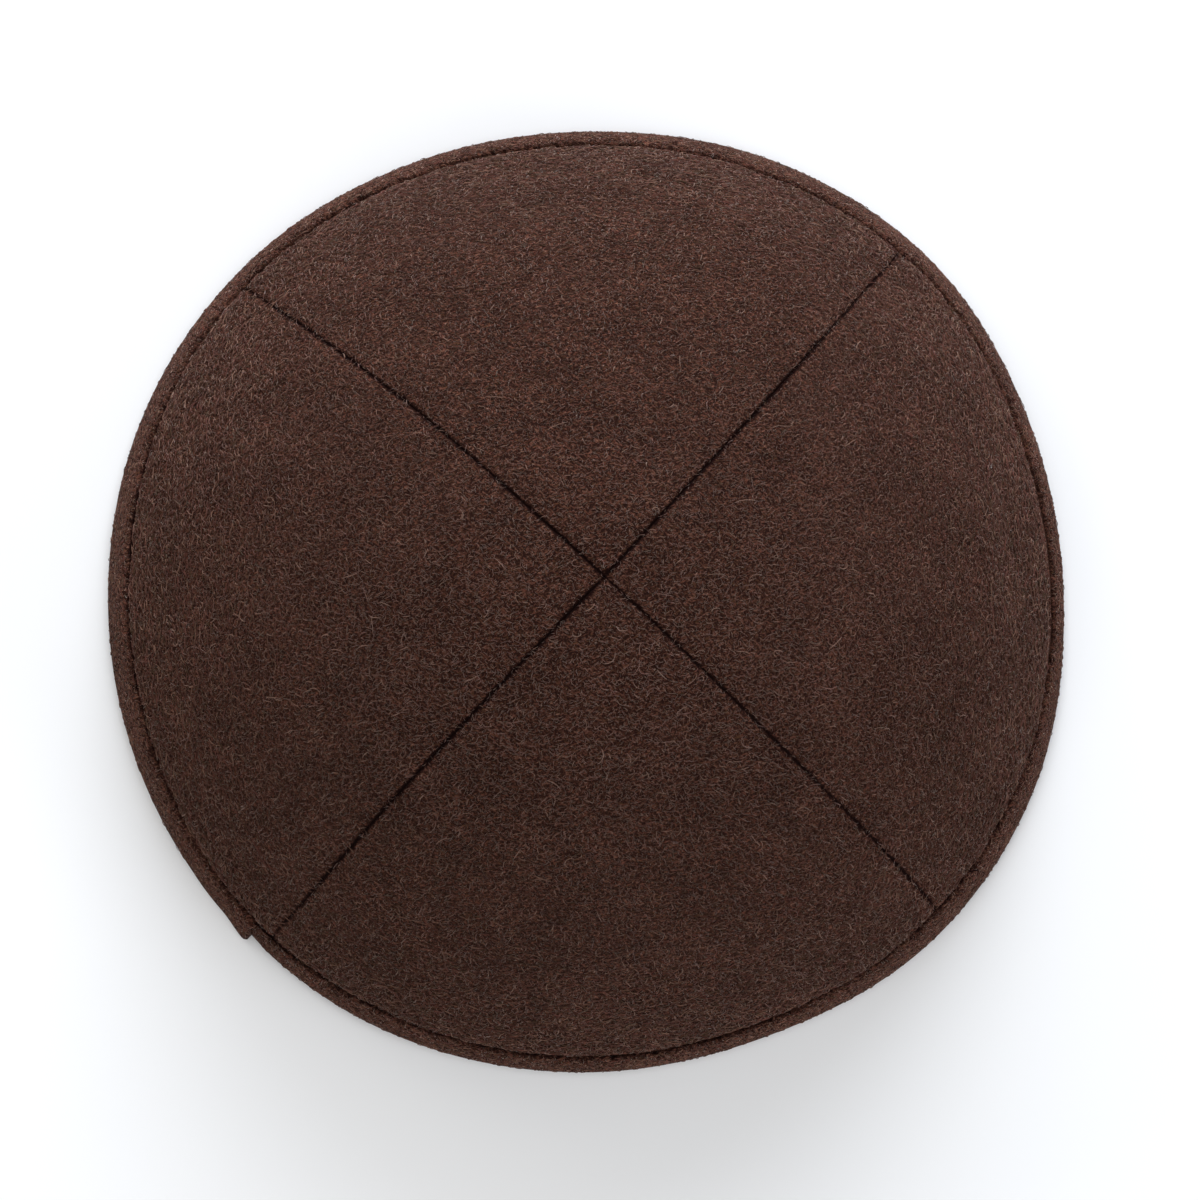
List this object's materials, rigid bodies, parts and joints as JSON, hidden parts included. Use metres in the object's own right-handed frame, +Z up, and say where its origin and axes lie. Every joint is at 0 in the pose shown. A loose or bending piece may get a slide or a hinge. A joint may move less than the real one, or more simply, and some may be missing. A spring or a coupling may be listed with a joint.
{
  "type": "kippah skullcap",
  "caption": "Low domed skullcap of felted wool, sewn from wedge-shaped panels and bound round its rim with a folded tape; worn on the crown of the head.",
  "frame": {"origin": "middle of the rim, on the surface that the cap rests on", "axes": "+Z up through the crown; +X and +Y in the plane of the rim, with the seams about midway between them"},
  "size_m": [0.1694, 0.167, 0.0496],
  "materials": {
    "wool_crown": "dark brown boiled wool with a short fibrous nap",
    "wool_band": "dark brown boiled wool tape, folded and stitched"
  },
  "bodies": {
    "root": {"panel_back": "wool_crown", "panel_right": "wool_crown", "panel_front": "wool_crown", "panel_left": "wool_crown", "rim_band": "wool_band"}
  },
  "joints": []
}
